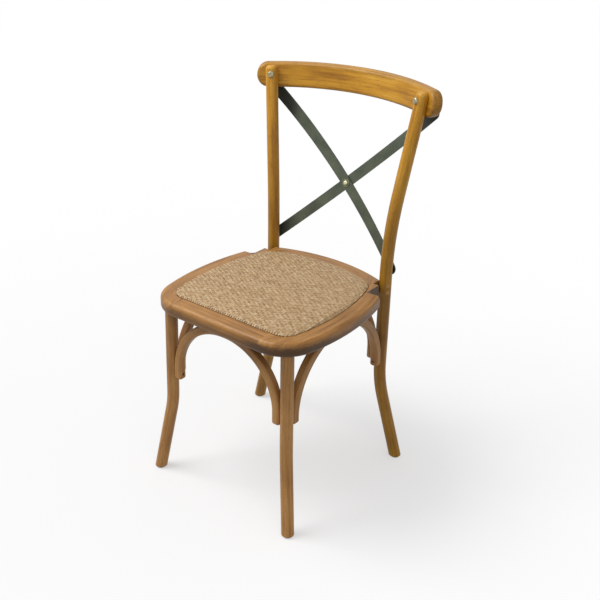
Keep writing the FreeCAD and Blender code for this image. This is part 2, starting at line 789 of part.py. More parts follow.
section = size("arch_section")
end_height = seat_bottom - size("arch_drop")
fall = (seat_bottom - end_height) / (seat_bottom - size("leg_knee_height"))
leg_at_arch = leg_top + leg_bearing * (size("leg_lean") * fall)
post_at_arch = size("lower_knee_x")
leg_radius = size("leg_dia") / 2
side_plane = (leg_at_arch.x + post_at_arch) / 2
arch_front = leg_at_arch.y + leg_radius
arch_rear = size("post_y") - post_radius
SPANS = {
    "front_half_span": leg_at_arch.x - leg_radius - section / 2,
    "rear_half_span": post_at_arch - post_radius - section / 2,
    "side_half_span": (arch_rear - arch_front - section) / 2,
    "arch_path_top": seat_bottom - section / 2,
    "arch_end_height": end_height,
}
for name in ("front", "rear", "side"):
    SPANS[name + "_bend"] = SPANS[name + "_half_span"] - size("arch_flat")
for alias, value in SPANS.items():
    work_out(alias, value)


def arch_body(name, kind):
    """An arch drawn in its own upright plane, its middle at x = 0: nearly half round, on straight ends."""
    span_alias = kind + "_half_span"
    body = helper("PartDesign::Body", name)
    path = sketch_on(body, name + "Path", "XZ_Plane")
    half = SPANS[span_alias]
    top = SPANS["arch_path_top"]
    bend = SPANS[kind + "_bend"]
    spring = top - bend
    quarter = math.pi / 2
    corners = [Vector(-half, end_height, 0), Vector(-half, spring, 0), Vector(bend - half, top, 0),
               Vector(half - bend, top, 0), Vector(half, spring, 0), Vector(half, end_height, 0)]
    for a, b in ((0, 1), (2, 3), (4, 5)):
        path.addGeometry(Part.LineSegment(corners[a], corners[b]), False)
    left = Part.Circle(Vector(bend - half, spring, 0), UP, bend)
    right = Part.Circle(Vector(half - bend, spring, 0), UP, bend)
    path.addGeometry(Part.ArcOfCircle(left, quarter, 2 * quarter), False)
    path.addGeometry(Part.ArcOfCircle(right, 0, quarter), False)
    for a, b, c, d in ((0, 2, 3, 2), (3, 1, 1, 1), (1, 2, 4, 2), (4, 1, 2, 1)):
        path.addConstraint(Sketcher.Constraint("Tangent", a, b, c, d))
    for direction, index in (("Vertical", 0), ("Horizontal", 1), ("Vertical", 2)):
        path.addConstraint(Sketcher.Constraint(direction, index))
    path.addConstraint(Sketcher.Constraint("Symmetric", 0, 1, 2, 2, -2))
    fix(path, "DistanceX", (-1, 1, 2, 2, half), "Worked." + span_alias)
    fix(path, "DistanceY", (-1, 1, 2, 2, end_height), "Worked.arch_end_height")
    fix(path, "DistanceY", (-1, 1, 1, 1, top), "Worked.arch_path_top")
    fix(path, "Radius", (3, bend), "Worked.%s_bend" % kind)
    profile = sketch_on(body, name + "Section", "XY_Plane")
    profile.AttachmentOffset = Placement(Vector(-half, 0, end_height), Rotation())
    profile.setExpression("AttachmentOffset.Base.x", "-Worked." + span_alias)
    profile.setExpression("AttachmentOffset.Base.z", "Worked.arch_end_height")
    wide = section / 2
    flat = wide - size("arch_corner")
    ring_points = [Vector(-flat, -wide, 0), Vector(flat, -wide, 0), Vector(wide, -flat, 0), Vector(wide, flat, 0),
                   Vector(flat, wide, 0), Vector(-flat, wide, 0), Vector(-wide, flat, 0), Vector(-wide, -flat, 0)]
    for n in range(4):
        profile.addGeometry(Part.LineSegment(ring_points[2 * n], ring_points[2 * n + 1]), False)
    for n, (sx, sy) in enumerate(((1, -1), (1, 1), (-1, 1), (-1, -1))):
        start = (n - 1) * quarter
        circle = Part.Circle(Vector(sx * flat, sy * flat, 0), UP, size("arch_corner"))
        profile.addGeometry(Part.ArcOfCircle(circle, start, start + quarter), False)
    for n in range(4):
        profile.addConstraint(Sketcher.Constraint("Tangent", n, 2, 4 + n, 1))
        profile.addConstraint(Sketcher.Constraint("Tangent", 4 + n, 2, (n + 1) % 4, 1))
    for n in (1, 2, 3):
        profile.addConstraint(Sketcher.Constraint("Equal", 4, 4 + n))
    profile.addConstraint(Sketcher.Constraint("Horizontal", 0))
    profile.addConstraint(Sketcher.Constraint("Vertical", 1))
    profile.addConstraint(Sketcher.Constraint("Symmetric", 4, 3, 6, 3, -1, 1))
    fix(profile, "Radius", (4, size("arch_corner")), cell("arch_corner"))
    fix(profile, "DistanceX", (3, 1, 1, 1, section), cell("arch_section"))
    fix(profile, "DistanceY", (0, 1, 2, 1, section), cell("arch_section"))
    pipe = body.newObject("PartDesign::AdditivePipe", name + "Pipe")
    pipe.Profile = profile
    pipe.Spine = (path, ["Edge%d" % n for n in range(1, 6)])
    doc.recompute()
    ends = names_of(pipe.Shape, "Face", lambda f: all(abs(v.Z - end_height) < 0.01 for v in f.Vertexes))
    soft = body.newObject("PartDesign::Fillet", name + "Ends")
    soft.Base = (pipe, ends)
    soft.setExpression("Radius", cell("arch_end_round"))
    body.Tip = soft
    return body


quarter_turn = Rotation(UP, 90)
ARCHES = (
    ("front", "front", Vector(0, leg_at_arch.y, 0), Rotation()),
    ("rear", "rear", Vector(0, size("post_y"), 0), Rotation()),
    ("left", "side", Vector(-side_plane, (arch_front + arch_rear) / 2, 0), quarter_turn),
    ("right", "side", Vector(side_plane, (arch_front + arch_rear) / 2, 0), quarter_turn),
)
arch_screw = headed("arch_screw", "screw_dia", cell("arch_screw_length"), "screw_head_dia", "screw_head_height", 0.3)
leg_screws = []
seat_screws = []
arch_bodies = {}
for name, kind, base, turn in ARCHES:
    body = arch_body(name.title() + "Arch", kind)
    body.Placement = Placement(base, turn)
    arch_bodies[name] = body
    inset = SPANS[kind + "_half_span"] - section / 2 + size("screw_head_height")
    for direction in (1, -1):
        axis = turn.multVec(Vector(-direction, 0, 0))
        low = base + turn.multVec(Vector(direction * inset, 0, end_height + size("arch_screw_height")))
        leg_screws.append(placed(arch_screw, low, axis))
        across = direction * size("arch_seat_screw_spacing") / 2
        top = base + turn.multVec(Vector(across, 0, seat_bottom - section + size("screw_head_height")))
        seat_screws.append(placed(arch_screw, top, UP * -1))
doc.recompute()
arch_leg_screws = group("ArchLegScrews", "arch_leg_screws", leg_screws)
arch_seat_screws = group("ArchSeatScrews", "arch_seat_screws", seat_screws)
for name, body in arch_bodies.items():
    keep(cut(name.title() + "ArchDrilled", body, arch_leg_screws, arch_seat_screws), name + "_arch")

# Seat frame segments, their dowels, the board and the woven panel

ledge_middle = size("frame_width") + size("ledge_width") / 2
rear_middle_radius = size("rear_bow_radius") - ledge_inset / 2
rear_centre_y = size("seat_depth") - size("rear_bow_radius")
dowel_height = seat_bottom + (size("seat_thickness") - size("rebate_depth")) / 2
dowels = []
for side, sign in SIDES:
    for step in (-0.5, 0.5):
        offset = ledge_inset / 2 + step * size("dowel_spacing")
        start = Vector(sign * size("front_joint") - size("dowel_length") / 2, offset, dowel_height)
        dowels.append(Part.makeCylinder(size("dowel_dia") / 2, size("dowel_length"), start, Vector(1, 0, 0)))
        radius = rear_middle_radius + step * size("dowel_spacing")
        lean_out = math.asin(size("rear_joint") / rear_middle_radius)
        along = Vector(math.cos(lean_out), -sign * math.sin(lean_out), 0)
        middle = Vector(sign * radius * math.sin(lean_out), rear_centre_y + radius * math.cos(lean_out), dowel_height)
        start = middle - along * (size("dowel_length") / 2)
        dowels.append(Part.makeCylinder(size("dowel_dia") / 2, size("dowel_length"), start, along))
dowels = group("SeatDowels", "seat_frame_dowels", dowels)

board_screw = headed("board_screw", "screw_dia", cell("board_screw_length"), "screw_head_dia", "screw_head_height", 0.3)
screws = []
for side, sign in SIDES:
    rear_x = size("board_screw_rear_x")
    rear_y = rear_centre_y + math.sqrt((size("rear_bow_radius") - ledge_middle) ** 2 - rear_x ** 2)
    for x, y in ((size("board_screw_front_x"), ledge_middle), (rear_x, rear_y)):
        base = Vector(sign * x, y, seat_bottom + size("screw_head_height"))
        screws.append(placed(board_screw, base, UP * -1))
board_screws = group("BoardScrews", "seat_board_screws", screws)

drilled = cut("frame_drilled", ring, tenons["left"], tenons["right"], post_bolts, arch_seat_screws, board_screws, dowels)
front_x = size("front_joint")
rear_x = size("rear_joint")
middle_y = size("seat_depth") / 2
CUTTERS = {
    "front": ((-front_x, -big, 0), (2 * front_x, big + middle_y, seat_top)),
    "rear": ((-rear_x, middle_y, 0), (2 * rear_x, big, seat_top)),
}
cutters = {name: block("segment_" + name, corner, lengths) for name, (corner, lengths) in CUTTERS.items()}
sides_only = cut("frame_sides", drilled, cutters["front"], cutters["rear"])
left_half = block("segment_left", (-big, -big, 0), (big, 2 * big, seat_top))
right_half = block("segment_right", (0, -big, 0), (big, 2 * big, seat_top))
keep(common("SeatRailFront", drilled, cutters["front"]), "seat_rail_front")
keep(common("SeatRailRear", drilled, cutters["rear"]), "seat_rail_rear")
keep(common("SeatRailLeft", sides_only, left_half), "seat_rail_left")
keep(common("SeatRailRight", sides_only, right_half), "seat_rail_right")

board_inset = size("frame_width") + size("panel_gap")
board_bottom = seat_top - size("rebate_depth")
board_top = board_bottom + size("board_thickness")
board = slab("board_blank", board_inset, board_bottom, cell("board_thickness"))
keep(cut("SeatBoard", board, board_screws), "seat_board")

panel_edge_top = board_top + size("panel_edge")
CROWN = ((1.0, -size("panel_edge")), (1.0, 0.0), (0.975, 0.30), (0.92, 0.55), (0.78, 0.80), (0.55, 0.95), (0.28, 1.0))
rings = []
for number, (scale, rise) in enumerate(CROWN):
    height = panel_edge_top + (rise if rise < 0 else rise * size("panel_crown"))
    rings.append(made("panel_ring_%d" % number, seat_outline(board_inset, height, scale)))
panel = helper("Part::Loft", "RattanPanel")
panel.Sections = rings
panel.Solid = True
panel.Ruled = True
keep(panel, "rattan_panel")

# Legs with their screws and glides let in

glides = {}
glide_pins = {}
for place, foot in feet.items():
    disc = cylinder("glide_disc_" + place, cell("glide_dia") + " / 2", cell("glide_thickness"), foot)
    pin = cylinder("glide_pin_" + place, cell("glide_pin_dia") + " / 2",
                   cell("glide_pin_length") + " + " + cell("glide_thickness"), foot)
    glides[place] = keep(fused("Glide" + place.title().replace("_", ""), disc, pin), "glide_" + place)
for side, sign in SIDES:
    keep(cut("FrontLeg" + side.title(), leg_blanks[side], arch_leg_screws, glides["front_" + side]), "front_leg_" + side)
    keep(cut("BackPost" + side.title(), foot_posts[side], crest_bolts, head_beds, post_bolts, plug_blanks,
             strap_blanks["front"][0], strap_blanks["rear"][0], strap_foot_screws, arch_leg_screws,
             glides["rear_" + side]), "back_post_" + side)

doc.recompute()

# Every object has to be sound before anything is written

for obj in doc.Objects:
    if "Invalid" in obj.State or "Error" in obj.State:
        raise RuntimeError("%s: %s" % (obj.Name, obj.State))
for obj in parts:
    if obj.Shape.isNull() or not obj.Shape.isValid() or not obj.Shape.Solids:
        raise RuntimeError("%s has no sound solid" % obj.Label)

box = FreeCAD.BoundBox()
for obj in parts:
    box.add(obj.Shape.optimalBoundingBox(False, False))
centring = Placement(Vector(0, -(box.YMin + box.YMax) / 2, 0), Rotation())
for obj in parts:
    obj.Placement = centring.multiply(obj.Placement)

os.makedirs("parts", exist_ok=True)
for obj in parts:
    obj.Shape.exportStep("parts/%s.step" % obj.Label)
    print("%-22s solids %2d  volume %10.1f" % (obj.Label, len(obj.Shape.Solids), obj.Shape.Volume))
print("whole: %.1f wide, %.1f deep, %.1f high" % (box.XLength, box.YLength, box.ZLength))
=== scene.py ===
import math

import bmesh
import bpy
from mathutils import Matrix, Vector
from mathutils.bvhtree import BVHTree


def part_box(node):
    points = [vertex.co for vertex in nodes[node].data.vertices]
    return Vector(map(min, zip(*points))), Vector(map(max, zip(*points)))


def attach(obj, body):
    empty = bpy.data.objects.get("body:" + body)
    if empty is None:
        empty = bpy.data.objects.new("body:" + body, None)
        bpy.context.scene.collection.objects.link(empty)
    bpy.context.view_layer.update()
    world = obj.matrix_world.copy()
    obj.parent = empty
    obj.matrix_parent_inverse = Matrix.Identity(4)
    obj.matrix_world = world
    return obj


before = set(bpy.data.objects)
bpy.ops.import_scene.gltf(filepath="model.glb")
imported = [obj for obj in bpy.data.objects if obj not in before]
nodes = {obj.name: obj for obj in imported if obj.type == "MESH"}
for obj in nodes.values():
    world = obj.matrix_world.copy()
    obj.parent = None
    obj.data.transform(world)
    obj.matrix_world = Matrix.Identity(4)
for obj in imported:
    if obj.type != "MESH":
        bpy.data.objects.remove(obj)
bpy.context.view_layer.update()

scene = bpy.context.scene

# Measures of the chair in metres: its seat, its notches and the middle lines that its grain follows

SEAT_TOP = 0.457
SEAT_FRONT_Y = -0.2543
NOTCH = {"x": 0.1637, "y": SEAT_FRONT_Y + 0.317, "out": 0.188, "end": SEAT_FRONT_Y + 0.362}
SIDE_BOW = {"x": -0.3365, "y": SEAT_FRONT_Y + 0.180, "radius": 0.550}
REAR_BOW = {"y": SEAT_FRONT_Y + 0.043, "radius": 0.355}
RAIL = {"bottom": 0.8276, "radius": 0.410, "lean": 34.5 / 314, "y": -0.1690}
LEG_FOOT = {"knee": 0.185, "out": 0.146, "forward": 0.136, "softness": 0.04}
POST_FOOT = {"knee": 0.200, "out": 0.2625, "back": 0.06, "softness": 0.05}
POST_TOP = {"knee": 0.565, "out": 0.1217, "back": 0.110, "softness": 0.05}
ARCH_TOP = 0.416
ARCH_HALF_FLAT = 0.003
ARCH_HALF_SPAN = {"front": 0.1406, "rear": 0.1375, "side": 0.1537}
SIDE_ARCH_Y = SEAT_FRONT_Y + 0.2148


def colour(red, green, blue):
    """A colour as it is seen, 0 to 255, as a linear one."""
    channels = []
    for seen in (red, green, blue):
        level = seen / 255
        channels.append(level / 12.92 if level <= 0.04045 else ((level + 0.055) / 1.055) ** 2.4)
    return (*channels, 1.0)


def scaled(tone, share):
    """A linear colour made darker or paler by one factor."""
    return tuple(min(1.0, share * channel) for channel in tone[:3]) + (1.0,)


class Value:
    """A number that varies over a surface; arithmetic on it adds Math nodes to its tree."""

    def __init__(self, shading, socket):
        self.shading = shading
        self.socket = socket

    def maths(self, operation, *others):
        return self.shading.add("Math", {"operation": operation}, dict(enumerate((self, *others))))

    def __add__(self, other):
        return self.maths("ADD", other)

    __radd__ = __add__

    def __sub__(self, other):
        return self.maths("SUBTRACT", other)

    def __rsub__(self, other):
        return self * -1 + other

    def __mul__(self, other):
        return self.maths("MULTIPLY", other)

    __rmul__ = __mul__

    def __truediv__(self, other):
        return self.maths("DIVIDE", other)

    def between(self, low, high):
        """0 up to the first limit, 1 from the second one on, smooth between them."""
        settings = {"interpolation_type": "SMOOTHSTEP"}
        return self.shading.add("MapRange", settings, {"Value": self, "From Min": low, "From Max": high})

    def past(self, softness):
        """The value where it is above nothing, and nothing elsewhere, with a soft turn between."""
        return (self + (self * self + softness * softness).maths("SQRT")) * 0.5

    def size(self):
        return self.maths("ABSOLUTE")

    def right_shift(self, shift):
        """Nothing on the left of the middle and the shift on its right, so that the sides' grain differs."""
        return self.between(-0.01, 0.01) * shift


def length(first, second):
    """How long a vector is whose two parts stand square to each other."""
    return (first * first + second * second).maths("SQRT")


class Shading:
    """The nodes of a material or of the world, and a short way to add to them."""

    def __init__(self, tree):
        self.tree = tree

    def add(self, kind, settings, sockets, output=0):
        node = self.tree.nodes.new("ShaderNode" + kind)
        for name, setting in settings.items():
            if name == "stops":
                self.set_stops(node.color_ramp.elements, setting)
            else:
                setattr(node, name, setting)
        for key, content in sockets.items():
            self.feed(node.inputs[key], content)
        return Value(self, node.outputs[output])

    def set_stops(self, elements, stops):
        for number, (position, tone) in enumerate(stops):
            element = elements[number] if number < len(elements) else elements.new(position)
            element.position = position
            element.color = tone

    def feed(self, socket, content):
        if isinstance(content, Value):
            self.tree.links.new(content.socket, socket)
        else:
            socket.default_value = content

    def shows_background(self):
        """1 for rays that show the background: from the camera, off a gloss or through glass."""
        seen = self.add("LightPath", {}, {}, "Is Camera Ray")
        mirrored = self.add("LightPath", {}, {}, "Is Glossy Ray")
        through = self.add("LightPath", {}, {}, "Is Transmission Ray")
        return (seen + mirrored + through).maths("MINIMUM", 1.0)


class Finish(Shading):
    """A procedural material, with the place on the piece."""

    def __init__(self, name, constants):
        self.material = bpy.data.materials.new(name)
        self.material.use_nodes = True
        super().__init__(self.material.node_tree)
        self.shader = self.tree.nodes["Principled BSDF"]
        for socket, constant in constants.items():
            self.shader.inputs[socket].default_value = constant
        self.place = self.add("TexCoord", {}, {}, "Object")
        split = self.add("SeparateXYZ", {}, {0: self.place}).socket.node
        self.x, self.y, self.z = (Value(self, split.outputs[axis]) for axis in "XYZ")

    def noise(self, place, scale, detail=2.0, roughness=0.5):
        sockets = {"Vector": place, "Scale": scale, "Detail": detail, "Roughness": roughness}
        return self.add("TexNoise", {}, sockets, "Fac")

    def vector(self, x, y, z):
        return self.add("CombineXYZ", {}, {0: x, 1: y, 2: z})

    def ramp(self, value, *stops):
        return self.add("ValToRGB", {"stops": stops}, {0: value})

    def mix(self, share, first, second):
        return self.add("Mix", {"data_type": "RGBA"}, {0: share, 6: first, 7: second}, 2)

    def bump(self, height, depth, strength):
        return self.add("Bump", {}, {"Height": height, "Distance": depth, "Strength": strength})

    def paint(self, base, roughness, normal):
        self.feed(self.shader.inputs["Base Color"], base)
        self.feed(self.shader.inputs["Roughness"], roughness)
        self.feed(self.shader.inputs["Normal"], normal)
        return self.material


# How the grain runs in each kind of member: along it, across it and into it


def along_leg(finish):
    """Up a front leg, which bends out and forward below its knee."""
    fall = (LEG_FOOT["knee"] - finish.z).past(LEG_FOOT["softness"])
    across = finish.x.size() - fall * LEG_FOOT["out"] + finish.x.right_shift(0.37)
    return finish.z, across, finish.y + fall * LEG_FOOT["forward"]


def along_post(finish):
    """Up a back post, which bends out and back below its low knee and above its high one."""
    fall = (POST_FOOT["knee"] - finish.z).past(POST_FOOT["softness"])
    rise = (finish.z - POST_TOP["knee"]).past(POST_TOP["softness"])
    across = finish.x.size() - fall * POST_FOOT["out"] - rise * POST_TOP["out"] + finish.x.right_shift(0.53)
    return finish.z, across, finish.y - fall * POST_FOOT["back"] - rise * POST_TOP["back"]


def along_rail(finish):
    """Round the bow of the crest rail, which leans back."""
    height = finish.z - RAIL["bottom"]
    depth = finish.y - height * RAIL["lean"] - RAIL["y"]
    return finish.x.maths("ARCTAN2", depth) * RAIL["radius"], height, length(finish.x, depth)


def along_front(finish):
    """Straight along the front of the seat frame."""
    return finish.x, finish.y, finish.z


def along_rear(finish):
    """Round the rear of the seat frame."""
    depth = finish.y - REAR_BOW["y"]
    return finish.x.maths("ARCTAN2", depth) * REAR_BOW["radius"], length(finish.x, depth), finish.z


def along_side(finish):
    """Round a bowed side of the seat frame."""
    out = finish.x.size() - SIDE_BOW["x"]
    back = finish.y - SIDE_BOW["y"]
    along = back.maths("ARCTAN2", out) * SIDE_BOW["radius"] + finish.x.right_shift(0.7)
    return along, length(out, back), finish.z


def along_arch(half_span, sideways):
    """The grain of an arch, which turns with its two bends."""
    radius = half_span - ARCH_HALF_FLAT

    def runs(finish):
        line, depth = (finish.y - SIDE_ARCH_Y, finish.x) if sideways else (finish.x, finish.y)
        out = line.size() - ARCH_HALF_FLAT
        up = finish.z - (ARCH_TOP - radius)
        over = out.maths("MAXIMUM", 0.0)
        above = up.maths("MAXIMUM", 0.0)
        turn = above.maths("ARCTAN2", over) * radius
        along = turn + up.maths("MINIMUM", 0.0) - out.maths("MINIMUM", 0.0) + line.right_shift(0.4)
        return along, length(over, above), depth

    return runs


# How much darker the wood is made in places, most of it painted shade: 0 not at all, 1 in full


def painted_shade_in_notches(finish):
    """Painted shade on the walls of the notch beside each post, a recess that the light hardly reaches."""
    out = finish.x.size()
    beside = (out - NOTCH["x"]).between(-0.0030, -0.0003)
    within = (NOTCH["out"] - out).between(0.0, 0.012)
    behind = (finish.y - NOTCH["y"]).between(-0.0030, -0.0003)
    before = (NOTCH["end"] - finish.y).between(-0.001, 0.001)
    return beside * within * behind * before


def frame_shade_and_darkening(finish):
    """Painted shade on the seat frame's lower part and in its notches; also its rear darker and a streaked
    darker patch low on its near corner.
    """
    mottle = finish.noise(finish.place, 30.0, 3.0)
    # painted shade on the frame's sides and underside, below its lit top
    under = (SEAT_TOP - 0.006 - finish.z + (mottle - 0.5) * 0.010).between(0.0, 0.013) * 0.56
    # the frame darker behind its front rail
    darker_rear = (finish.y + 0.20).between(0.0, 0.10) * 0.10
    corner = (finish.x - finish.y).between(0.315, 0.385) * (SEAT_TOP - 0.004 - finish.z).between(0.0, 0.009)
    streak = finish.noise(finish.vector(finish.x, finish.y, finish.z * 6.0), 90.0, 2.0).between(0.35, 0.65)
    share = under + darker_rear + corner * (streak * 0.35 + 0.38)
    return share.maths("MAXIMUM", painted_shade_in_notches(finish) * 0.95).maths("MINIMUM", 0.95)


def crest_shade_and_dark_edges(finish):
    """Painted shade along the crest rail's lower edge; the rail also darker along its upper edge and round
    its ends.
    """
    mottle = finish.noise(finish.place, 24.0, 3.0)
    up = finish.z - RAIL["bottom"] - (mottle - 0.5) * 0.010
    # painted shade on the lower rounding, which faces away from the light above
    low = up.between(0.014, 0.002) * 0.42
    high = up.between(0.048, 0.056) * 0.30
    ends = finish.x.size().between(0.205, 0.238) * 0.45
    return (low + high + ends).maths("MINIMUM", 0.6)


def post_darkening_and_seat_shade(finish):
    """The posts darker from the crest down, with painted shade just below the seat frame."""
    mottle = finish.noise(finish.place, 18.0, 3.0)
    # painted shade just below the seat frame, which shades the posts
    under = (0.47 - finish.z).between(0.0, 0.04) * (finish.z - 0.20).between(0.0, 0.12) * 0.22
    return (0.82 - finish.z).between(0.0, 0.30) * (mottle * 0.5 + 0.2) + under


def shade_below_seat_frame(finish):
    """Painted shade on the front legs and the arches towards the seat frame above them, which shades them.
    """
    mottle = finish.noise(finish.place, 18.0, 3.0)
    return (finish.z - 0.22).between(0.0, 0.18) * (mottle * 0.3 + 0.13)


# Finishes; the tones go from dark to pale

GOLD = (colour(128, 79, 16), colour(189, 135, 35), colour(214, 167, 68))
TAN = (colour(100, 64, 26), colour(155, 108, 52), colour(186, 141, 84))
BROWN = (colour(112, 72, 34), colour(170, 121, 64), colour(197, 152, 92))
STEEL = (colour(58, 64, 56), colour(84, 91, 76), colour(110, 114, 92))
# the painted shade on the strap's ends
STEEL_SHADE = colour(24, 27, 26)
CANE = (colour(144, 111, 75), colour(179, 151, 112), colour(203, 181, 146))
CANE_FLECK = colour(126, 84, 58)
FLECK_LENGTH = 0.0150
FLECK_ROW = 0.0064


def wood(name, runs, tones, shade=None, seed=0.0):
    """Varnished bentwood: streaks, fine fibres and short pores along the member, soft patches over it."""
    finish = Finish(name, {"Coat Weight": 0.06, "Coat Roughness": 0.3, "Specular IOR Level": 0.3})
    along, across, depth = runs(finish)
    along = along + seed
    patches = finish.noise(finish.vector(across, depth, along * 0.35), 26.0, 3.0)
    wander = (finish.noise(finish.vector(across, depth, along * 0.12), 30.0, 1.0) - 0.5) * 0.012
    line = across + wander
    rings = finish.noise(finish.vector(line, depth * 0.8, along * 0.035), 170.0, 2.0, 0.55)
    fibres = finish.noise(finish.vector(line, depth, along * 0.030), 820.0, 3.0, 0.6)
    pores = finish.noise(finish.vector(line, depth, along * 0.055), 1500.0, 1.0).between(0.63, 0.74)
    dark, mid, pale = tones
    tone = rings * 0.85 + fibres * 0.55 + patches * 0.75 - 0.58
    base = finish.ramp(tone, (0.10, dark), (0.50, mid), (0.92, pale))
    base = finish.mix(pores * 0.55, base, scaled(dark, 0.35))
    # painted shade, with the other darker places its mask holds, mixed towards the dark tone
    if shade:
        base = finish.mix(shade(finish), base, scaled(dark, 0.42))
    grain = finish.bump(fibres * 0.5 - pores, 0.00035, 0.55)
    return finish.paint(base, fibres * 0.14 + patches * 0.10 + 0.30, grain)


def plain(name, tone, roughness, metallic=0.0):
    """A moulded, plated or raw surface with a faint mottle."""
    finish = Finish(name, {"Metallic": metallic})
    mottle = finish.noise(finish.place, 60.0, 3.0)
    base = finish.ramp(mottle, (0.3, scaled(tone, 0.75)), (0.7, scaled(tone, 1.25)))
    fine = finish.noise(finish.place, 840.0, 2.0)
    return finish.paint(base, mottle * 0.2 + roughness - 0.1, finish.bump(fine, 0.0001, 0.3))


def strap_steel():
    """Dark waxed flat bar with a soft cloud over it, with painted shade nearly black towards its ends, where
    it runs behind the rail and the posts.
    """
    finish = Finish("strap_steel", {"Metallic": 0.55, "Specular IOR Level": 0.5})
    cloud = finish.noise(finish.place, 22.0, 4.0, 0.6)
    fine = finish.noise(finish.place, 420.0, 3.0, 0.6)
    dark, mid, pale = STEEL
    base = finish.ramp(cloud * 0.7 + fine * 0.5 - 0.1, (0.25, dark), (0.55, mid), (0.85, pale))
    out = finish.x.size()
    # painted shade where the strap's ends run behind the crest rail and the back posts
    shade_behind_rail = out.between(0.135, 0.170) * (finish.z - 0.70).between(0.0, 0.05)
    shade_behind_posts = out.between(0.112, 0.150) * (0.56 - finish.z).between(0.0, 0.06)
    base = finish.mix(shade_behind_rail * 0.8 + shade_behind_posts * 0.6, base, STEEL_SHADE)
    return finish.paint(base, fine * 0.2 + 0.42, finish.bump(fine, 0.00012, 0.5))


def woven_cane(name):
    """Split cane whose tone drifts from place to place, with brown flecks in staggered rows."""
    finish = Finish(name, {"Specular IOR Level": 0.35})
    drift = finish.noise(finish.place, 95.0, 4.0, 0.7)
    fibre = finish.noise(finish.place, 1400.0, 2.0)
    dark, mid, pale = CANE
    base = finish.ramp(drift + (fibre - 0.5) * 0.3, (0.28, dark), (0.5, mid), (0.74, pale))
    row = ((finish.y + 1.0) / FLECK_ROW).maths("FLOOR")
    dash = ((finish.x + 1.0) / FLECK_LENGTH + row * 0.5 + drift * 0.5).maths("FRACT")
    near = 1 - (dash - 0.5).size().between(0.10, 0.26)
    broken = finish.noise(finish.place, 130.0, 2.0, 0.6).between(0.36, 0.58)
    base = finish.mix(near * broken * 0.52, base, CANE_FLECK)
    return finish.paint(base, fibre * 0.2 + 0.5, finish.bump(fibre, 0.0001, 0.4))


front_grain = along_arch(ARCH_HALF_SPAN["front"], False)
rear_grain = along_arch(ARCH_HALF_SPAN["rear"], False)
side_grain = along_arch(ARCH_HALF_SPAN["side"], True)
side_segment = wood("side_segment_wood", along_side, TAN, frame_shade_and_darkening, seed=3.1)
side_arch = wood("side_arch_wood", side_grain, BROWN, shade_below_seat_frame, seed=1.7)
FINISHES = {
    "back_post": wood("post_wood", along_post, GOLD, post_darkening_and_seat_shade),
    "front_leg": wood("leg_wood", along_leg, BROWN, shade_below_seat_frame),
    "crest_rail": wood("crest_wood", along_rail, GOLD, crest_shade_and_dark_edges, seed=2.0),
    "seat_rail_front": wood("front_segment_wood", along_front, TAN, frame_shade_and_darkening),
    "seat_rail_rear": wood("rear_segment_wood", along_rear, TAN, frame_shade_and_darkening, seed=1.3),
    "seat_rail_left": side_segment,
    "seat_rail_right": side_segment,
    "front_arch": wood("front_arch_wood", front_grain, BROWN, shade_below_seat_frame, seed=0.4),
    "rear_arch": wood("rear_arch_wood", rear_grain, BROWN, shade_below_seat_frame, seed=0.9),
    "left_arch": side_arch,
    "right_arch": side_arch,
    "post_bolt_plugs": wood("plug_wood", along_post, BROWN, seed=5.0),
    "seat_board": plain("board_wood", colour(196, 168, 128), 0.7),
    "seat_frame_dowels": plain("dowel_wood", colour(206, 178, 136), 0.7),
    "rattan_panel": plain("cane_backing", colour(92, 68, 42), 0.8),
    "cross_strap": strap_steel(),
    "rivet": plain("rivet_nickel", colour(206, 200, 174), 0.36, 0.8),
    "washer": plain("washer_steel", colour(96, 98, 74), 0.5, 0.7),
    "rivet_washer": plain("rivet_washer_steel", colour(112, 116, 86), 0.5, 0.7),
    "bolt": plain("bolt_nickel", colour(158, 150, 122), 0.34, 0.85),
    "screw": plain("screw_black", colour(44, 42, 40), 0.5, 0.6),
    "glide": plain("glide_nylon", colour(52, 42, 34), 0.55),
}


def finish_for(name):
    """The finish whose key the node's name starts with, or else holds; the longest key wins."""
    starts = [key for key in FINISHES if name.startswith(key)]
    holds = [key for key in FINISHES if key in name]
    return FINISHES[max(starts or holds, key=len)]


for name, node in nodes.items():
    node.data.materials.clear()
    node.data.materials.append(finish_for(name))

# The woven seat: flat cane strands over and under each other on the crowned panel

WEFT = {"width": 0.0027, "pitch": 0.0032}
WARP = {"width": 0.0042, "pitch": 0.0060}
STRAND_THICKNESS = 0.0005
STRAND_HEIGHT = 0.0010
STRAND_WAVE = 0.00042
STRAND_OVERRUN = 0.0004
END_DIP = -0.0012
SHORTEST_STRAND = 0.02
RIM_MARGIN = 0.004
RIM_TOP = SEAT_TOP + 0.0005
TWILL_TURN = math.pi * 2 / 3
panel = nodes["rattan_panel"]
surface = BVHTree.FromObject(panel, bpy.context.evaluated_depsgraph_get())
panel_low, panel_high = (Vector(corner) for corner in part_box("rattan_panel"))


def piece_from(shape, name, material):
    """A finished object of the scene from a bmesh."""
    mesh = bpy.data.meshes.new(name)
    shape.to_mesh(mesh)
    shape.free()
    mesh.materials.append(material)
    piece = bpy.data.objects.new(name, mesh)
    scene.collection.objects.link(piece)
    return piece


def height_at(x, y):
    """The panel's top at a place in plan, or None beside it."""
    hit = surface.ray_cast(Vector((x, y, 1.0)), Vector((0, 0, -1)))
    return hit[0].z if hit[0] else None


def in_plan(line, run, sideways):
    """The x and y of a place on a strand: where its line lies, and how far it has run."""
    return (run, line) if sideways else (line, run)


def strand_ends(line, low, high, sideways):
    """Where a strand's line meets the rim of the panel, found by halving."""
    middle = (low + high) / 2
    ends = []
    for limit in (low, high):
        inside, outside = middle, limit
        for _ in range(18):
            trial = (inside + outside) / 2
            if height_at(*in_plan(line, trial, sideways)) is None:
                outside = trial
            else:
                inside = trial
        ends.append(inside)
    return ends


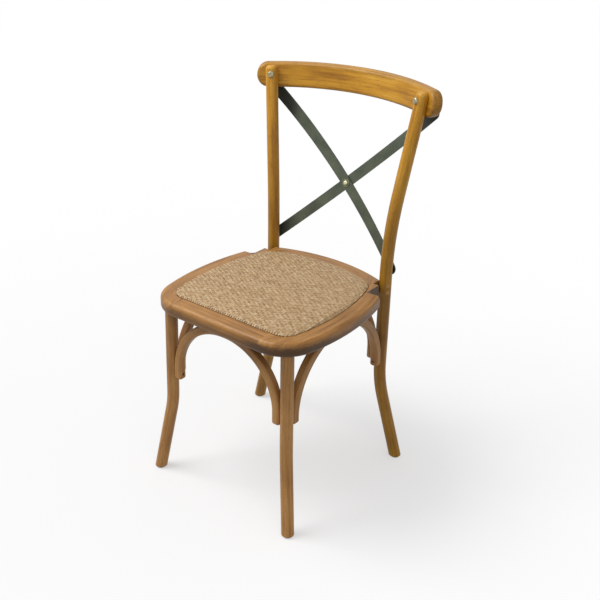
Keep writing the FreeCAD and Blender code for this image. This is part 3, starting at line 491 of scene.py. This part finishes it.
def lay_strand(shape, line, number, strand, crossed, sideways):
    """One flat strand, which rises and falls once over every three strands that it crosses."""
    low, high = (panel_low.x, panel_high.x) if sideways else (panel_low.y, panel_high.y)
    start, end = strand_ends(line, low, high, sideways)
    if end - start < SHORTEST_STRAND:
        return
    steps = max(4, round((end - start) / crossed["pitch"] * 2))
    grid = bmesh.ops.create_grid(shape, x_segments=steps, y_segments=1, size=0.5)
    for vert in grid["verts"]:
        share = vert.co.x + 0.5
        edge = math.copysign(strand["width"] / 2, vert.co.y)
        run = start - STRAND_OVERRUN + (end - start + 2 * STRAND_OVERRUN) * share
        x, y = in_plan(line + edge, run, sideways)
        wave = math.cos((run / crossed["pitch"] + number) * TWILL_TURN) * STRAND_WAVE
        at_end = share < 0.001 or share > 0.999
        lift = END_DIP if at_end else wave if sideways else -wave
        vert.co = (x, y, (height_at(x, y) or RIM_TOP) + STRAND_HEIGHT + lift)


def weave(name, strand, crossed, sideways, cane):
    """All strands of one direction as one piece."""
    shape = bmesh.new()
    low, high = (panel_low.y, panel_high.y) if sideways else (panel_low.x, panel_high.x)
    count = int((high - low - RIM_MARGIN) / strand["pitch"])
    first = (low + high) / 2 - strand["pitch"] * (count - 1) / 2
    for number in range(count):
        lay_strand(shape, first + number * strand["pitch"], number, strand, crossed, sideways)
    faces = shape.faces[:]
    bmesh.ops.recalc_face_normals(shape, faces=faces)
    if faces[0].normal.z < 0:
        bmesh.ops.reverse_faces(shape, faces=faces)
    bmesh.ops.solidify(shape, geom=faces, thickness=STRAND_THICKNESS)
    piece = piece_from(shape, name, cane)
    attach(piece, "root")


weave("cane_weft", WEFT, WARP, True, woven_cane("weft_cane"))
weave("cane_warp", WARP, WEFT, False, woven_cane("warp_cane"))

# The light, and a floor that shows white with the chair's shadow on it

SKY = 0.5
PAPER = 0.45
FLOOR_REACH = 9.0
LAMPS = (
    {"name": "key", "place": Vector((-1.2, -0.9, 2.6)), "width": 1.5, "power": 60},
    {"name": "fill", "place": Vector((1.9, -1.7, 1.9)), "width": 1.6, "power": 12},
)
AIM = Vector((0, 0, 0.4))


def place_lamp(lamp):
    """A square lamp that faces the chair."""
    light = bpy.data.lights.new(lamp["name"], "AREA")
    light.size = lamp["width"]
    light.energy = lamp["power"]
    stand = bpy.data.objects.new(lamp["name"], light)
    scene.collection.objects.link(stand)
    stand.location = lamp["place"]
    stand.rotation_euler = (AIM - lamp["place"]).to_track_quat("-Z", "Y").to_euler()


def light_from(lamp, paper):
    """How strongly a lamp lights each place on the floor."""
    place = lamp["place"]
    beam = (AIM - place).normalized()
    across = paper.x - place.x
    back = paper.y - place.y
    distance = across * across + back * back + place.z ** 2
    facing = across * beam.x + back * beam.y - place.z * beam.z
    return facing / (distance * distance) * (place.z * lamp["power"] / math.pi ** 2)


def floor_paper():
    """Grey paper that glows, for the rays that show it, by what its light leaves short of white."""
    grey = {"Base Color": (PAPER, PAPER, PAPER, 1.0), "Roughness": 1.0, "Specular IOR Level": 0.0}
    paper = Finish("floor_paper", {**grey, "Emission Strength": 1.0})
    lit = SKY
    for lamp in LAMPS:
        lit = lit + light_from(lamp, paper)
    glow = paper.shows_background() * (1.0 - lit * PAPER)
    paper.feed(paper.shader.inputs["Emission Color"], paper.vector(glow, glow, glow))
    return paper.material


for lamp in LAMPS:
    place_lamp(lamp)
floor_shape = bmesh.new()
bmesh.ops.create_grid(floor_shape, x_segments=1, y_segments=1, size=FLOOR_REACH)
floor = piece_from(floor_shape, "floor", floor_paper())

world = bpy.data.worlds.new("studio")
scene.world = world
world.use_nodes = True
sky = Shading(world.node_tree)
backdrop = sky.tree.nodes["Background"]
backdrop.inputs["Color"].default_value = (1.0, 1.0, 1.0, 1.0)
sky.feed(backdrop.inputs["Strength"], sky.shows_background() * (1.0 - SKY) + SKY)

# The camera stands where the photograph was taken; its picture is measured in pixels

PICTURE = 600
FOCAL_LENGTH = 901.76
MIDDLE = {"x": 258.1, "y": 300.89}
AZIMUTH = math.radians(40.01)
ELEVATION = math.radians(26.43)
DISTANCE = 1.9332
TARGET = Vector((0.00231, SEAT_FRONT_Y + 0.139, 0.4524))

level = math.cos(ELEVATION)
away = Vector((math.sin(AZIMUTH) * level, -math.cos(AZIMUTH) * level, math.sin(ELEVATION)))
lens = bpy.data.cameras.new("camera")
lens.sensor_width = 36.0
lens.lens = FOCAL_LENGTH * lens.sensor_width / PICTURE
lens.shift_x = (PICTURE / 2 - MIDDLE["x"]) / PICTURE
lens.shift_y = (MIDDLE["y"] - PICTURE / 2) / PICTURE
camera = bpy.data.objects.new("camera", lens)
scene.collection.objects.link(camera)
camera.location = TARGET + away * DISTANCE
camera.rotation_euler = away.to_track_quat("Z", "Y").to_euler()
scene.camera = camera
scene.view_settings.view_transform = "Standard"
